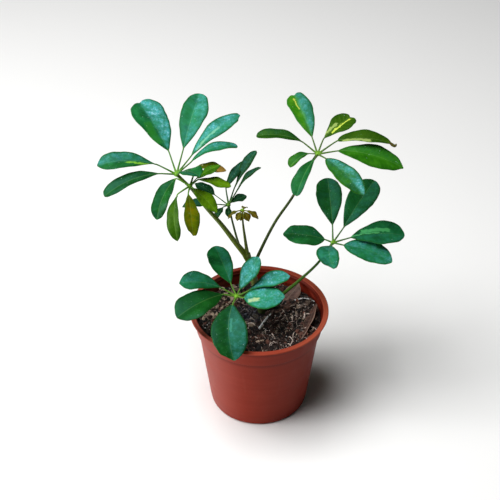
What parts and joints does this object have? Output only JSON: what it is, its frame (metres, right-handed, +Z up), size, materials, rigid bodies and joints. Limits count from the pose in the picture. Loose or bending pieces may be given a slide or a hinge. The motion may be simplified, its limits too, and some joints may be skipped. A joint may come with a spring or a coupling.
{
  "type": "potted umbrella plant",
  "caption": "Young umbrella plant with palmate leaves on long petioles, growing from one stem in potting soil in a round tapered plastic nursery pot.",
  "frame": {"origin": "centre of the pot's foot, on the surface it stands on", "axes": "+Z up along the pot's axis, -Y towards the viewer of the reference view, +X to that viewer's right"},
  "size_m": [0.2751, 0.1828, 0.2791],
  "materials": {
    "pot_plastic": "satin terracotta-red plastic",
    "potting_soil": "damp potting soil with bark and fibres",
    "stem_bark": "olive green stem",
    "leaf_green": "glossy dark green leaf",
    "leaf_variegated": "glossy green leaf with yellow streaks",
    "leaf_young": "glossy yellow-green young leaf",
    "leaf_dark": "glossy dark leaf in shade",
    "leaf_bronze": "bronze new leaf",
    "dry_leaf": "dull brown dead leaf",
    "straw": "dull pale straw"
  },
  "bodies": {
    "root": {"pot": "pot_plastic", "soil": "potting_soil", "stem": "stem_bark", "leaf_upper_left": "leaf_green", "leaf_young_left": "leaf_young", "leaf_back": "leaf_dark", "leaf_new": "leaf_bronze", "leaf_upper_right": "leaf_variegated", "leaf_right": "leaf_green", "leaf_front": "leaf_green", "dry_leaf_back": "dry_leaf", "dry_leaf_middle": "dry_leaf", "dry_leaf_right": "dry_leaf", "straw_front": "straw", "straw_back": "straw"}
  },
  "joints": []
}
